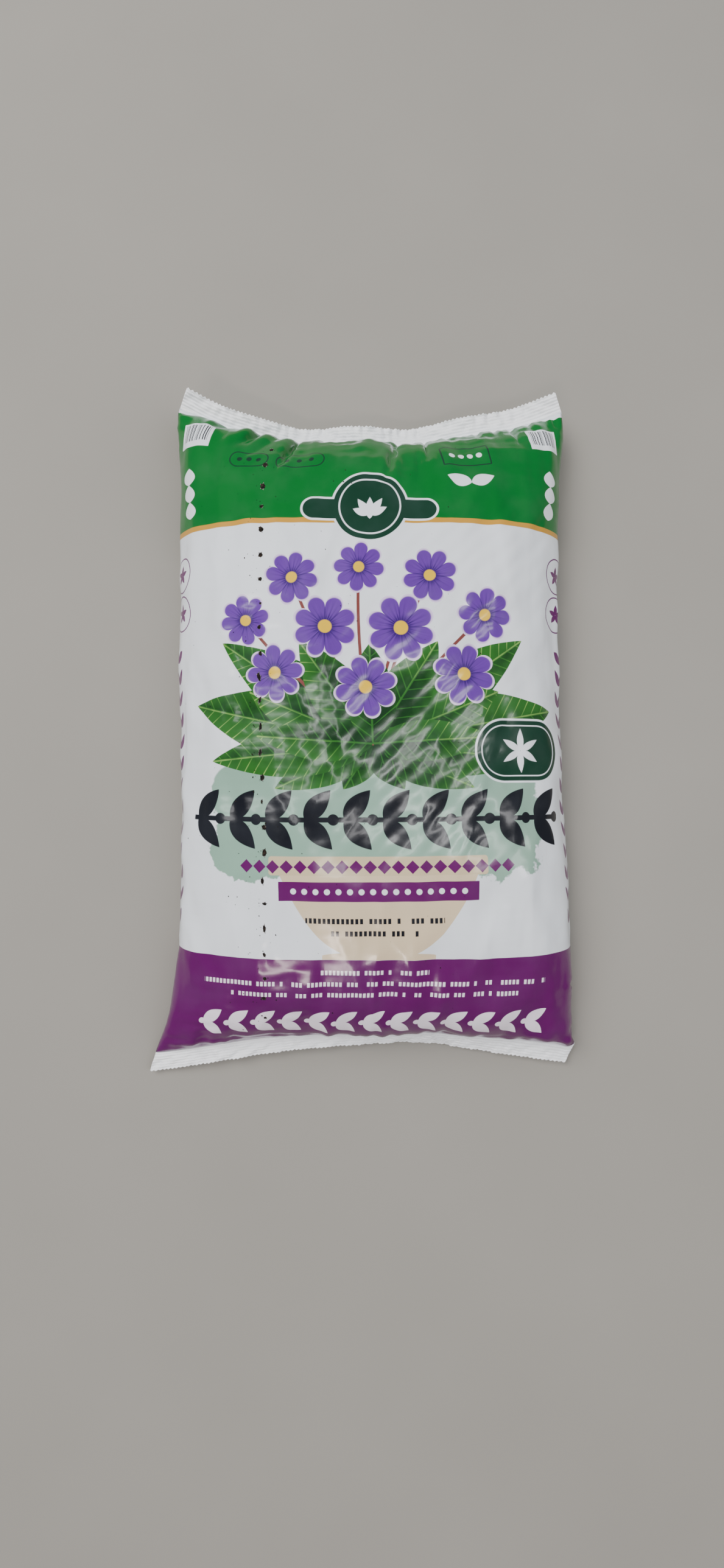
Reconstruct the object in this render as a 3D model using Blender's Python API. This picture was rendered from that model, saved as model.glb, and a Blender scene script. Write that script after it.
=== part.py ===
"""A filled pillow bag of potting compost, lying on its back.

The bag is one tube of printed film. It is sealed across both ends, and down the back
in a lap that lies flat, and a row of vent pricks runs down the front. The compost
can't be seen into, so film and filling are one solid.

X runs across the bag, +Y points to its top end, +Z is up. The origin is on the floor,
under the middle of the bag's box. All lengths are in metres.
"""

import math

import bmesh
import bpy

# The film tube, laid flat
TUBE_WIDTH = 0.220
SEAL_DEPTH = 0.010
SEAL_THICKNESS = 0.0010
TOOTH_PITCH = 0.0022
TOOTH_DEPTH = 0.0008
LAP_LEFT = -0.0045
LAP_WIDTH = 0.012
LAP_THICKNESS = 0.0005

# The filled bag
BODY_WIDTH = 0.195
FILL_HEIGHT = 0.051
BODY_LENGTH = 0.316
CORNER_REACH = 0.009
FLAT_SHARE = 0.84
WIDEST_HEIGHT = 0.017
EDGE_ROUND = 0.012
PLEAT_PITCH = 0.044
PLEAT_HEIGHT = 0.0014

# The vent pricks down the front
VENT_X = -0.0575
VENT_PITCH = 0.0127
VENT_COUNT = 23
VENT_WIDTH = 0.0014
VENT_LENGTH = 0.0030
VENT_DEPTH = 0.0012

# How finely the curved skin is divided
LINE_COUNT = 39
POINTS_ACROSS = 29

HALF_LENGTH = BODY_LENGTH / 2

# For each end: the seal's width, its height in the middle, its rise at the left and right
# corners, its ripple, and how blunt and how full the bag is there. The compost has settled
# towards the bottom end, and the top seal curls up at its corners.
BOTTOM = {
    "side": -1,
    "width": 0.219,
    "height": 0.0085,
    "left_rise": -0.0055,
    "right_rise": -0.0040,
    "ripple": 0.0004,
    "bluntness": 0.38,
    "fullness": 1.0,
}
TOP = {
    "side": 1,
    "width": 0.206,
    "height": 0.0120,
    "left_rise": 0.0130,
    "right_rise": 0.0060,
    "ripple": 0.0010,
    "bluntness": 0.46,
    "fullness": 0.95,
}
RIPPLES = 3


def smooth(value, low, high):
    """0 below low, 1 above high, and an S-curve between them."""
    share = min(1.0, max(0.0, (value - low) / (high - low)))
    return share * share * (3 - 2 * share)


def mix(first, second, share):
    return first + (second - first) * share


def end_of(station):
    return TOP if station > 0 else BOTTOM


def corner_pull(across):
    """How far the film reaches past the seal's middle: the corners stand out as ears."""
    return CORNER_REACH * abs(across) ** 2.2


def half_width(station):
    return mix(BODY_WIDTH, end_of(station)["width"], abs(station) ** 9) / 2


def seal_warp(station, across):
    """What the bent seal adds to the heights near its end of the bag.

    Across runs from -1 at the bag's left edge to 1 at its right edge.
    """
    end = end_of(station)
    rise = end["left_rise"] if across < 0 else end["right_rise"]
    ripple = end["ripple"] * math.sin(math.pi * RIPPLES * across) * (1 - abs(across))
    return (rise * abs(across) ** 2.4 + ripple) * smooth(abs(station), FLAT_SHARE, 1.0)


def widest_height(station):
    """Height of the bag's side line, where its front and its back meet."""
    return mix(WIDEST_HEIGHT, end_of(station)["height"], abs(station) ** 4)


def front_height(station, across):
    """Height of the front; station is -1 at the bottom seal and 1 at the top seal."""
    end = end_of(station)
    swell = (1 - abs(station) ** 3) ** end["bluntness"]
    full = FILL_HEIGHT * mix(1.0, end["fullness"], abs(station))
    crown = mix(end["height"] + SEAL_THICKNESS / 2, full, swell)
    pleats = PLEAT_HEIGHT * math.cos(2 * math.pi * across * half_width(station) / PLEAT_PITCH)
    near_seal = smooth(abs(station), 0.72, 0.9) * (1 - smooth(abs(station), 0.93, 1.0))
    low = widest_height(station)
    arch = math.sqrt(max(0.0, 1 - abs(across) ** 2.2))
    return low + (crown + pleats * near_seal - low) * arch + seal_warp(station, across)


def back_height(station, across):
    """Height of the back: flat on the floor, rounded at the edges, up to the seals."""
    half = half_width(station)
    base = (end_of(station)["height"] - SEAL_THICKNESS / 2) * smooth(abs(station), FLAT_SHARE, 1)
    turn = min(1.0, max(0.0, 1 - (1 - abs(across)) * half / EDGE_ROUND))
    edge = 1 - math.sqrt(1 - turn * turn)
    return mix(base, widest_height(station), edge) + seal_warp(station, across)


def place(station, across, height, beyond=0.0):
    """A point of the film at that height; beyond is how far past the station it lies."""
    pull = corner_pull(across) * abs(station) ** 5
    y = station * HALF_LENGTH + end_of(station)["side"] * (pull + beyond)
    return (across * half_width(station), y, height)


def section(station, beyond=0.0):
    """One ring: over the front from the left edge to the right, and back underneath."""
    last = POINTS_ACROSS - 1
    spread = [-math.cos(math.pi * i / last) for i in range(POINTS_ACROSS)]
    front = [place(station, a, front_height(station, a), beyond) for a in spread]
    back = [place(station, a, back_height(station, a), beyond) for a in spread[1:-1]]
    return front + back[::-1]


def stations():
    """The places of the rings along the bag, closer together towards the seals."""
    last = LINE_COUNT - 1
    return [math.sin(math.pi / 2 * (2 * i / last - 1)) for i in range(LINE_COUNT)]


def new_object(name, bm):
    bmesh.ops.recalc_face_normals(bm, faces=bm.faces)
    mesh = bpy.data.meshes.new(name)
    bm.to_mesh(mesh)
    bm.free()
    obj = bpy.data.objects.new(name, mesh)
    bpy.context.scene.collection.objects.link(obj)
    return obj


def loft(name, rings):
    """A closed solid through rings of equal length, with a cap on each end."""
    bm = bmesh.new()
    rows = [[bm.verts.new(point) for point in ring] for ring in rings]
    for near, far in zip(rows, rows[1:]):
        for i in range(len(near)):
            j = (i + 1) % len(near)
            bm.faces.new((near[i], near[j], far[j], far[i]))
    for row in (rows[0], rows[-1]):
        half = len(row) // 2
        for i in range(1, half):
            corners = (row[i - 1], row[i], row[-i], row[1 - i])
            bm.faces.new(list(dict.fromkeys(corners)))
        bm.faces.new((row[half - 1], row[half], row[half + 1]))
    bmesh.ops.triangulate(bm, faces=bm.faces)
    return new_object(name, bm)


def make_body():
    """The filled bag with both its seals, their ends still straight-edged."""
    reach = SEAL_DEPTH + TOOTH_DEPTH
    rings = [section(-1.0, reach), *[section(s) for s in stations()], section(1.0, reach)]
    return loft("compost_bag", rings)


def make_teeth(name, end):
    """The cutter that pinks the edge of a seal, standing upright through it."""
    teeth = round(TUBE_WIDTH / TOOTH_PITCH)
    spare = 2
    rings = []
    for i in range(-spare, 2 * teeth + 1 + spare):
        across = i / teeth - 1
        bite = TOOTH_DEPTH if i % 2 else 0
        near = end["side"] * (HALF_LENGTH + SEAL_DEPTH - bite + corner_pull(across))
        far = end["side"] * (HALF_LENGTH + 0.04)
        x = across * TUBE_WIDTH / 2
        rings.append([(x, near, -0.02), (x, far, -0.02), (x, far, 0.06), (x, near, 0.06)])
    return loft(name, rings)


def make_lap(name, side):
    """The end of the back seal, proud of the back from where this leaves the floor."""
    rings = []
    ends = [s for s in stations() if s * side > FLAT_SHARE + 0.03]
    for station in sorted(ends, key=abs):
        ring = []
        for x, depth in ((LAP_LEFT, 1), (LAP_LEFT + LAP_WIDTH, 1), (LAP_LEFT + LAP_WIDTH, -1), (LAP_LEFT, -1)):
            across = x / half_width(station)
            height = back_height(station, across) - depth * LAP_THICKNESS
            ring.append(place(station, across, height))
        rings.append(ring)
    rings.append([(x, y + side * 0.9 * SEAL_DEPTH, z) for x, y, z in rings[-1]])
    return loft(name, rings)


def add_box(bm, centre, size):
    cube = bmesh.ops.create_cube(bm, size=1)
    for vert in cube["verts"]:
        vert.co = [c + s * v for c, s, v in zip(centre, size, vert.co)]


def make_lap_grooves():
    """The steps along both edges of the lap, where it is pressed flush into the back."""
    bm = bmesh.new()
    length = 2 * HALF_LENGTH * FLAT_SHARE
    for x in (LAP_LEFT, LAP_LEFT + LAP_WIDTH):
        add_box(bm, (x, 0, 0), (LAP_THICKNESS, length, LAP_THICKNESS))
    return new_object("lap_groove_cutter", bm)


def make_vents():
    """The pricks: one row of short slits pushed a little way into the front."""
    bm = bmesh.new()
    for i in range(VENT_COUNT):
        y = VENT_PITCH * (i - (VENT_COUNT - 1) / 2)
        station = y / HALF_LENGTH
        height = front_height(station, VENT_X / half_width(station))
        add_box(bm, (VENT_X, y, height), (VENT_WIDTH, VENT_LENGTH, 2 * VENT_DEPTH))
    return new_object("vent_cutter", bm)


def combine(obj, other, operation):
    """Adds or cuts the other object's shape, and leaves that object out of the render."""
    modifier = obj.modifiers.new(other.name, "BOOLEAN")
    modifier.object = other
    modifier.operation = operation
    modifier.solver = "EXACT"
    other.hide_render = True
    other.display_type = "WIRE"


def film_material():
    """Glossy white polyethylene film."""
    material = bpy.data.materials.new("printed_film")
    material.use_nodes = True
    shader = material.node_tree.nodes["Principled BSDF"]
    shader.inputs["Base Color"].default_value = (0.80, 0.81, 0.84, 1.0)
    shader.inputs["Roughness"].default_value = 0.30
    shader.inputs["Metallic"].default_value = 0.0
    return material


def centre_on_box(obj, helpers):
    """Shifts every object so that the origin lies under the middle of the bag's box."""
    bpy.context.view_layer.update()
    graph = bpy.context.evaluated_depsgraph_get()
    corners = [v.co for v in obj.evaluated_get(graph).data.vertices]
    middle = [(min(c[k] for c in corners) + max(c[k] for c in corners)) / 2 for k in range(2)]
    for each in [obj, *helpers]:
        each.location.x -= middle[0]
        each.location.y -= middle[1]


def main():
    for obj in list(bpy.data.objects):
        bpy.data.objects.remove(obj, do_unlink=True)
    bag = make_body()
    laps = [make_lap("bottom_lap_shape", -1), make_lap("top_lap_shape", 1)]
    cutters = [
        make_teeth("bottom_teeth_cutter", BOTTOM),
        make_teeth("top_teeth_cutter", TOP),
        make_lap_grooves(),
        make_vents(),
    ]
    for shape in laps:
        combine(bag, shape, "UNION")
    for cutter in cutters:
        combine(bag, cutter, "DIFFERENCE")
    centre_on_box(bag, [*laps, *cutters])
    bag.data.materials.append(film_material())
    bag.data.shade_smooth()
    bag.data.set_sharp_from_angle(angle=math.radians(40))


main()
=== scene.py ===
"""The looks of a filled pillow bag of potting compost, lying on its back.

The film is simulated as the tube that it is: sealed at both ends, filled with a fixed
volume of compost and left to rest on the floor. Its printed front, its crimped seals,
its back seal and its torn vent pricks are then built on that shape.

Places on the film are given in millimetres of flat film: u runs across the front from
-110 at the left edge to 110 at the right edge, and on round the back, and v runs from
-180 at the bottom end to 180 at the top end.
"""

import math

import bmesh
import bpy
import numpy as np
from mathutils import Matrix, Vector


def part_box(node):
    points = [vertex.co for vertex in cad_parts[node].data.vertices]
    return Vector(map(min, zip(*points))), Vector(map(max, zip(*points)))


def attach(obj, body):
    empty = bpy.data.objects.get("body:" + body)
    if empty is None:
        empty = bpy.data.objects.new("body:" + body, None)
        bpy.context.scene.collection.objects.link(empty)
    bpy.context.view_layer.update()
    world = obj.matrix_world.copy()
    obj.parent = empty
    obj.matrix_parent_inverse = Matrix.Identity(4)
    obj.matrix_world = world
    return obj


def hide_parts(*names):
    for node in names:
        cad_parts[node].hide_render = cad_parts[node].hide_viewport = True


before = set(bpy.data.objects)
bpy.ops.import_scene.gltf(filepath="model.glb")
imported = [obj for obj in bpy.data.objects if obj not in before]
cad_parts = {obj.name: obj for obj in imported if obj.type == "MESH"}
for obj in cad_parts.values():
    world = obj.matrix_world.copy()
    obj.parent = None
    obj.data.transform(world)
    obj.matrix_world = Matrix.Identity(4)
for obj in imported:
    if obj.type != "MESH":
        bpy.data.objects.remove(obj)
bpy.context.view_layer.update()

MM = 0.001

# The film, laid flat
TUBE_WIDTH = 220 * MM
CUT_LENGTH = 360 * MM
SEAL_DEPTH = 10 * MM
CONTENT = 0.0025

# The seals: two layers of film pressed into ridges, with a pinked edge
SEAL_THICKNESS = 0.22 * MM
SEAL_TUCK = 1.2 * MM
SEAL_CLEARANCE = 1.2 * MM
SEAL_LINES = 34
RIDGE_PITCH = 1.5 * MM
RIDGE_HEIGHT = 0.16 * MM
CRINKLE = 0.22 * MM
TOOTH_PITCH = 2.2 * MM
TOOTH_DEPTH = 0.8 * MM

# The back seal, from the middle of the back
LAP_MIDDLE = 1.5 * MM
LAP_WIDTH = 12 * MM
LAP_THICKNESS = 0.25 * MM

# The row of vent pricks down the front, on the flat film, and how far what stands in them
# may be turned, in radians
VENT_U = -52.5 * MM
VENT_PITCH = 12.0 * MM
VENT_COUNT = 25
SPIN = 0.35

# How the film settles: rounds at each size of grid, coarse to fine
FIRST_ROWS, FIRST_COLUMNS = 37, 44
ROUNDS = (400, 260, 110)
BENDING = (0.05, 0.02, 0.01)
# In each round: the filling's push, its weight, the speed that is kept, and the hold of
# the volume, of the sealed ends' places and of the floor's friction
PUSH = 6e-5
WEIGHT = 1e-5
SPEED_KEPT = 0.96
VOLUME_HOLD = 0.3
END_HOLD = 0.06
FRICTION = 0.3

# The bottom seal droops right of its middle: its angle in radians, and its place and its
# spread as shares of the way from the middle to the corner
DROOP, DROOP_PLACE, DROOP_SPREAD = 0.6, 0.36, 0.32

# How each sealed end lies. Its edge: half the width, the shift sideways, how far out its
# middle is, and how much further its left and right ears reach, and how sharply they
# start. Its height: in the middle, what each corner adds, its tilt upwards, its droop
# and its waves
BOTTOM_END = {
    "first": True,
    "half": 109.3 * MM,
    "shift": -9.0 * MM,
    "taper": 0.0,
    "out": 165.0 * MM,
    "ears": (15.5 * MM, 11.0 * MM),
    "ear_start": (1.6, 1.6),
    "middle": 6.5 * MM,
    "corners": (-4.5 * MM, -3.0 * MM),
    "tilt": 0.05,
    "droop": DROOP,
    "wave": 0.5 * MM,
}
TOP_END = {
    "first": False,
    "half": 100.5 * MM,
    "shift": 2.5 * MM,
    "taper": 6.0 * MM,
    "out": 161.0 * MM,
    "ears": (17.5 * MM, 16.0 * MM),
    "ear_start": (3.2, 2.0),
    "middle": 12.0 * MM,
    "corners": (14.0 * MM, 7.0 * MM),
    "tilt": 0.25,
    "droop": 0.0,
    "wave": 2.6 * MM,
}
# How far the filled part leans to the right of the line between its ends, at most
LEAN = 8.5 * MM

# Long soft creases of the film: height, length and width in millimetres, seed, slant
STREAKS = ((0.40, 90, 17, 14, 0.0), (0.26, 70, 15, 15, 0.35), (0.20, 60, 14, 16, -0.45))


# ---------------------------------------------------------------- the film at rest


def around_tube(columns):
    """For each column round the tube: its share of the way across, and its side."""
    half = columns // 2
    turn = np.arange(columns)
    across = np.where(turn <= half, 2 * turn / half - 1, 3 - 2 * turn / half)
    side = np.where((turn > 0) & (turn < half), 1.0, np.where(turn > half, -1.0, 0.0))
    return across, side


def flat_tube(rows, columns):
    """The tube before filling: lying flat, a little open."""
    across, side = around_tube(columns)
    along = np.linspace(-1, 1, rows)
    inner = np.clip(along / (1 - 2 * SEAL_DEPTH / CUT_LENGTH), -1, 1)
    swell = np.outer(np.sqrt(1 - inner**2), np.sqrt(1 - across**2))
    swell = swell * np.where(side < 0, -0.5, side)
    x = np.broadcast_to(0.475 * TUBE_WIDTH * across, swell.shape)
    y = np.broadcast_to(0.485 * CUT_LENGTH * along[:, None], swell.shape)
    return np.stack([x, y, 12 * MM + 20 * MM * swell], -1)


def refine(film):
    """Doubles the rows and the columns, on a smooth curve through the old points."""
    around = np.empty((film.shape[0], 2 * film.shape[1], 3))
    near = film + np.roll(film, -1, 1)
    far = np.roll(film, 1, 1) + np.roll(film, -2, 1)
    around[:, 0::2] = film
    around[:, 1::2] = (9 * near - far) / 16
    before, after = 2 * around[:1] - around[1:2], 2 * around[-1:] - around[-2:-1]
    padded = np.concatenate([before, around, after])
    finer = np.empty((2 * film.shape[0] - 1, around.shape[1], 3))
    finer[0::2] = around
    finer[1::2] = (9 * (padded[1:-2] + padded[2:-1]) - padded[:-3] - padded[3:]) / 16
    return finer


def area_vectors(film):
    """The area vector at each point of the film, facing out, and the volume inside."""
    turned = np.roll(film, -1, axis=1)
    faces = 0.5 * np.cross(turned[1:] - film[:-1], film[1:] - turned[:-1])
    centres = 0.25 * (film[:-1] + film[1:] + turned[:-1] + turned[1:])
    at_points = np.zeros_like(film)
    at_points[:-1] += faces
    at_points[1:] += faces
    return (at_points + np.roll(at_points, 1, axis=1)) / 4, (faces * centres).sum() / 3


def pull(first, second, rest, strength, slack=False):
    """Moves pairs of points towards their distance at rest. Slack pairs may be nearer."""
    gap = second - first
    length = np.sqrt(np.einsum("...i,...i", gap, gap))[..., None] + 1e-12
    excess = length - rest
    if slack:
        excess = np.maximum(excess, 0)
    step = 0.5 * strength * excess / length * gap
    return first + step, second - step


def pull_rows(film, apart, rest, strength, slack=False):
    """Holds points that lie that many rows apart along the bag."""
    for start in (0, apart):
        rows = np.arange(start, film.shape[0] - apart)
        rows = rows[(rows - start) // apart % 2 == 0]
        film[rows], film[rows + apart] = pull(film[rows], film[rows + apart], rest, strength, slack)


def pull_columns(film, apart, rest, strength, slack=False):
    """Holds points that lie that many columns apart round the bag."""
    count = film.shape[1]
    places = np.arange(count)
    near = places[(places // apart % 2 == 0) & (places < count // (2 * apart) * 2 * apart)]
    for start in (0, apart):
        one, two = (near + start) % count, (near + start + apart) % count
        film[:, one], film[:, two] = pull(film[:, one], film[:, two], rest, strength, slack)


def pull_diagonals(film, rest, strength):
    """Keeps the film's cells from shearing."""
    for lean in (1, -1):
        for start in (0, 1):
            rows = np.arange(start, film.shape[0] - 1, 2)
            other = np.roll(film[rows + 1], -lean, axis=1)
            film[rows], other = pull(film[rows], other, rest, strength)
            film[rows + 1] = np.roll(other, lean, axis=1)


def guide_end(film, end, depth_rows):
    """Draws a sealed end towards the way it lies: its width, its height and its ears."""
    rows, columns = film.shape[:2]
    across, _ = around_tube(columns)
    on_left, far = across < 0, np.abs(across)
    corner = np.where(on_left, *end["corners"]) * far**2.6
    waves = end["wave"] * np.cos(10.5 * across + 0.9) * (1 - across**4)
    ear = np.where(on_left, *end["ears"]) * far ** np.where(on_left, *end["ear_start"])
    droop = end["droop"] * np.exp(-(((across - DROOP_PLACE) / DROOP_SPREAD) ** 2))
    for k in range(depth_rows + 1):
        row = k if end["first"] else rows - 1 - k
        beyond = 1 - k / depth_rows
        x = (end["half"] - end["taper"] * beyond) * across + end["shift"]
        y = end["out"] - SEAL_DEPTH * (1 - beyond * np.cos(droop)) + ear
        z = end["middle"] + 2.5 * MM * droop + (corner + waves) * (0.7 + 0.3 * beyond)
        z = z + (end["tilt"] - np.sin(droop)) * SEAL_DEPTH * beyond
        target = np.stack([x, -y if end["first"] else y, z], -1)
        film[row] += END_HOLD * (target - film[row])


def settle(film, rounds, bending):
    """Fills the film with compost and lets it come to rest on the floor."""
    rows, columns = film.shape[:2]
    wide, long = 2 * TUBE_WIDTH / columns, CUT_LENGTH / (rows - 1)
    depth_rows = max(1, round(SEAL_DEPTH / long))
    sealed = np.r_[0 : depth_rows + 1, rows - 1 - depth_rows : rows]
    facing = (columns - np.arange(columns)) % columns
    load_area = np.full((rows, 1, 1), PUSH / (wide * long))
    load_area[sealed] = 0
    speed = np.zeros_like(film)
    for _ in range(rounds):
        vectors, _ = area_vectors(film)
        depth = (film[..., 2:].max() / 2 - film[..., 2:]) / (50 * MM)
        speed = SPEED_KEPT * speed + load_area * depth * vectors
        speed[..., 2] -= WEIGHT
        moved = film + np.clip(speed, -2 * MM, 2 * MM)
        for _ in range(2):
            vectors, volume = area_vectors(moved)
            push = VOLUME_HOLD * (CONTENT - volume) / (vectors**2).sum() * vectors
            moved += np.clip(push, -1 * MM, 1 * MM)
            pull_columns(moved, 2, 2 * wide, bending)
            pull_rows(moved, 2, 2 * long, bending)
            for apart in (16, 8, 4, 2):
                pull_columns(moved, apart, apart * wide, 1.0, slack=True)
                pull_rows(moved, apart, apart * long, 1.0, slack=True)
            pull_diagonals(moved, math.hypot(wide, long), 0.5)
            pull_columns(moved, 1, wide, 1.0)
            pull_rows(moved, 1, long, 1.0)
            moved[sealed] = (moved[sealed] + moved[sealed][:, facing]) / 2
            for end in (BOTTOM_END, TOP_END):
                guide_end(moved, end, depth_rows)
            floored = moved[..., 2:] < 0
            moved[..., 2] = np.maximum(moved[..., 2], 0)
            moved[..., :2] += FRICTION * floored * (film - moved)[..., :2]
        speed = moved - film
        film = moved
    return film


def filled_film():
    random = np.random.default_rng(4)
    film = flat_tube(FIRST_ROWS, FIRST_COLUMNS)
    film[..., 2] += 0.2 * MM * random.standard_normal(film.shape[:2])
    film = settle(film, ROUNDS[0], BENDING[0])
    film = settle(refine(film), ROUNDS[1], BENDING[1])
    film = refine(film)
    film = settle(film, ROUNDS[2], BENDING[2])
    return leaned(film)


def leaned(film):
    """Pushes the filled part to the right, most of all low down."""
    from_foot = np.linspace(0, 1, film.shape[0])
    push = from_foot**0.7 * (1 - from_foot) ** 3.2
    film[..., 0] += (LEAN * push / push.max())[:, None]
    return film


# ---------------------------------------------------------------- the film's fine shape


def soft_noise(shape, along, across, seed, slant=0.0):
    """Smooth random relief over the film's grid: its bumps' length and width, and their slant."""
    random = np.random.default_rng(seed)
    spectrum = np.fft.rfft2(random.standard_normal(shape))
    rows = np.fft.fftfreq(shape[0])[:, None] * (shape[0] - 1) / CUT_LENGTH
    columns = np.fft.rfftfreq(shape[1])[None] * shape[1] / (2 * TUBE_WIDTH)
    lengthways = rows * math.cos(slant) + columns * math.sin(slant)
    sideways = columns * math.cos(slant) - rows * math.sin(slant)
    fade = np.exp(-2 * ((lengthways * along) ** 2 + (sideways * across) ** 2))
    relief = np.fft.irfft2(spectrum * fade, s=shape)
    return relief / relief.std()


def creases(shape, along, across, seed, slant=0.0):
    """Sharp creases between soft hollows, in places only."""
    ridges = np.clip(1 - np.abs(soft_noise(shape, along, across, seed, slant)), -1, 1)
    places = soft_noise(shape, 45 * MM, 35 * MM, seed + 50)
    return ridges * np.clip(0.5 + places, 0, 1.6)


def seal_rows(film):
    """How many rows of the grid lie across an end seal."""
    return round(SEAL_DEPTH / CUT_LENGTH * (film.shape[0] - 1))


def unit_normals(film):
    vectors, _ = area_vectors(film)
    return vectors / (np.linalg.norm(vectors, axis=-1, keepdims=True) + 1e-15)


def film_places(film):
    """Flat-film places of the grid's points, in metres."""
    rows, columns = film.shape[:2]
    u = np.arange(columns) * 2 * TUBE_WIDTH / columns - TUBE_WIDTH / 2
    v = np.linspace(-CUT_LENGTH / 2, CUT_LENGTH / 2, rows)
    return np.meshgrid(u, v)


def crumpled(film):
    """Adds what the compost and the handling do to the film: lumps, streaks and pleats."""
    shape = film.shape[:2]
    _, v = film_places(film)
    from_seal = CUT_LENGTH / 2 - SEAL_DEPTH - np.abs(v)
    fade = np.clip(from_seal / (9 * MM), 0, 1)
    lumps = 0.45 * MM * soft_noise(shape, 22 * MM, 16 * MM, 11)
    clods = 0.03 * MM * soft_noise(shape, 8.0 * MM, 6.0 * MM, 12)
    streaks = 0
    for height, long, wide, seed, slant in STREAKS:
        streaks = streaks + height * MM * creases(shape, long * MM, wide * MM, seed, slant)
    facets = 0.02 * MM * creases(shape, 20 * MM, 14 * MM, 17)
    pleats = 0.75 * MM * soft_noise(shape, 40 * MM, 6.5 * MM, 18) * np.exp(-from_seal / (24 * MM))
    rucks = 0.26 * MM * creases(shape, 7 * MM, 24 * MM, 19) * np.exp(-from_seal / (40 * MM))
    relief = lumps + clods + streaks + facets + pleats + rucks
    normals = unit_normals(film)
    floored = np.clip(-normals[..., 2] * 3 - 1, 0, 1) * (film[..., 2] < 4 * MM)
    moved = film + (relief * fade * (1 - floored))[..., None] * normals
    moved[..., 2] = np.maximum(moved[..., 2], LAP_THICKNESS)
    for first in (True, False):
        tuck_under_seal(moved, first)
    return moved


def tuck_under_seal(film, first):
    """Keeps the lower layer, where it bulges out past a seal's root, below that seal."""
    rows, columns = film.shape[:2]
    depth_rows = seal_rows(film)
    near = round(30 * MM / CUT_LENGTH * (rows - 1))
    root, outer = (depth_rows, 0) if first else (rows - 1 - depth_rows, rows - 1)
    beside = np.arange(root + 1, root + near) if first else np.arange(root - near, root)
    outwards = -1 if first else 1
    lower = film[beside][:, columns // 2 + 1 :]
    root_line, outer_line = film[root, columns // 2 + 1 :], film[outer, columns // 2 + 1 :]
    beyond = outwards * (lower[..., 1] - root_line[:, 1])
    run = np.maximum(np.abs(outer_line[:, 1] - root_line[:, 1]), 3 * MM)
    slope = (outer_line[:, 2] - root_line[:, 2]) / run
    ceiling = root_line[:, 2] + slope * beyond - SEAL_CLEARANCE
    held = np.where(beyond > -1 * MM, np.minimum(lower[..., 2], ceiling), lower[..., 2])
    film[beside[:, None], np.arange(columns // 2 + 1, columns), 2] = np.maximum(held, LAP_THICKNESS)


def film_uv(obj, u, v):
    """Stores the flat-film place of each face corner, in units of 0.1 metres."""
    layer = obj.data.uv_layers.new(name="film")
    corners = np.stack([u, v], -1).astype(np.float32) * 10
    layer.data.foreach_set("uv", corners.ravel())


def new_object(name, data):
    obj = bpy.data.objects.new(name, data)
    bpy.context.scene.collection.objects.link(obj)
    return obj


def new_piece(name, points, faces):
    mesh = bpy.data.meshes.new(name)
    mesh.from_pydata(points.tolist(), [], faces.tolist() if hasattr(faces, "tolist") else faces)
    mesh.update()
    mesh.shade_smooth()
    return new_object(name, mesh)


def grid_faces(rows, columns):
    """Quads of a grid of points, row after row."""
    index = np.arange(rows * columns).reshape(rows, columns)
    corners = (index[:-1, :-1], index[:-1, 1:], index[1:, 1:], index[1:, :-1])
    return np.stack(corners, -1).reshape(-1, 4)


def make_bag(film):
    """The filled body of the bag, closed where its two layers meet in the end seals."""
    rows, columns = film.shape[:2]
    depth_rows = seal_rows(film)
    body = film[depth_rows : rows - depth_rows]
    u, v = film_places(film)
    v = v[depth_rows : rows - depth_rows]
    count = body.shape[0]
    index = np.arange(count * columns).reshape(count, columns)
    facing = (columns - np.arange(columns)) % columns
    front = np.minimum(np.arange(columns), facing)
    index[0], index[-1] = index[0][front], index[-1][front]
    nxt = np.roll(index, -1, axis=1)
    faces = np.stack([index[:-1], nxt[:-1], nxt[1:], index[1:]], -1).reshape(-1, 4)
    used, compact = np.unique(faces, return_inverse=True)
    points = body.reshape(-1, 3)[used]
    obj = new_piece("film_bag", points, compact.reshape(-1, 4))
    wide = 2 * TUBE_WIDTH / columns
    u0 = np.broadcast_to(u[0], (count - 1, columns))
    corner_u = np.stack([u0, u0 + wide, u0 + wide, u0], -1)
    corner_v = np.stack([v[:-1], v[:-1], v[1:], v[1:]], -1)
    film_uv(obj, corner_u.ravel(), corner_v.ravel())
    panels = panel_of(corner_u.mean(-1), corner_v.mean(-1))
    obj.data.polygons.foreach_set("material_index", panels.ravel().astype(np.int32))
    return obj


def resampled(line, count):
    """The same line through that many points, evenly spread."""
    old = np.linspace(0, 1, len(line))
    new = np.linspace(0, 1, count)
    return np.stack([np.interp(new, old, line[:, k]) for k in range(3)], -1)


def crinkled(along, depth, seed):
    """Uneven crinkles of a seal, fading out at its root: waves of mixed length and slant."""
    random = np.random.default_rng(seed)
    total = np.zeros(np.broadcast(along, depth).shape)
    for _ in range(9):
        wave, slant, start = random.uniform(5, 26) * MM, random.uniform(-9, 9) * MM, random.uniform(0, 7)
        lean = slant + math.copysign(4 * MM, slant)
        total += np.sin(2 * np.pi * (along / wave + depth / lean) + start)
    return CRINKLE * total / 2 * np.clip(depth / (4 * MM), 0, 1)


def slab(name, top, under):
    """A thin closed piece between two grids of points, and its faces, those of its rim last."""
    rows, columns = top.shape[:2]
    count = rows * columns
    sheet = grid_faces(rows, columns)
    index = np.arange(count).reshape(rows, columns)
    rim = np.concatenate([index[0], index[1:, -1], index[-1, -2::-1], index[-2:0:-1, 0]])
    after = np.roll(rim, -1)
    edge = np.stack([after, rim, rim + count, after + count], -1)
    faces = np.concatenate([sheet, sheet[:, ::-1] + count, edge])
    points = np.concatenate([top.reshape(-1, 3), under.reshape(-1, 3)])
    return new_piece(name, points, faces), faces


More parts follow.
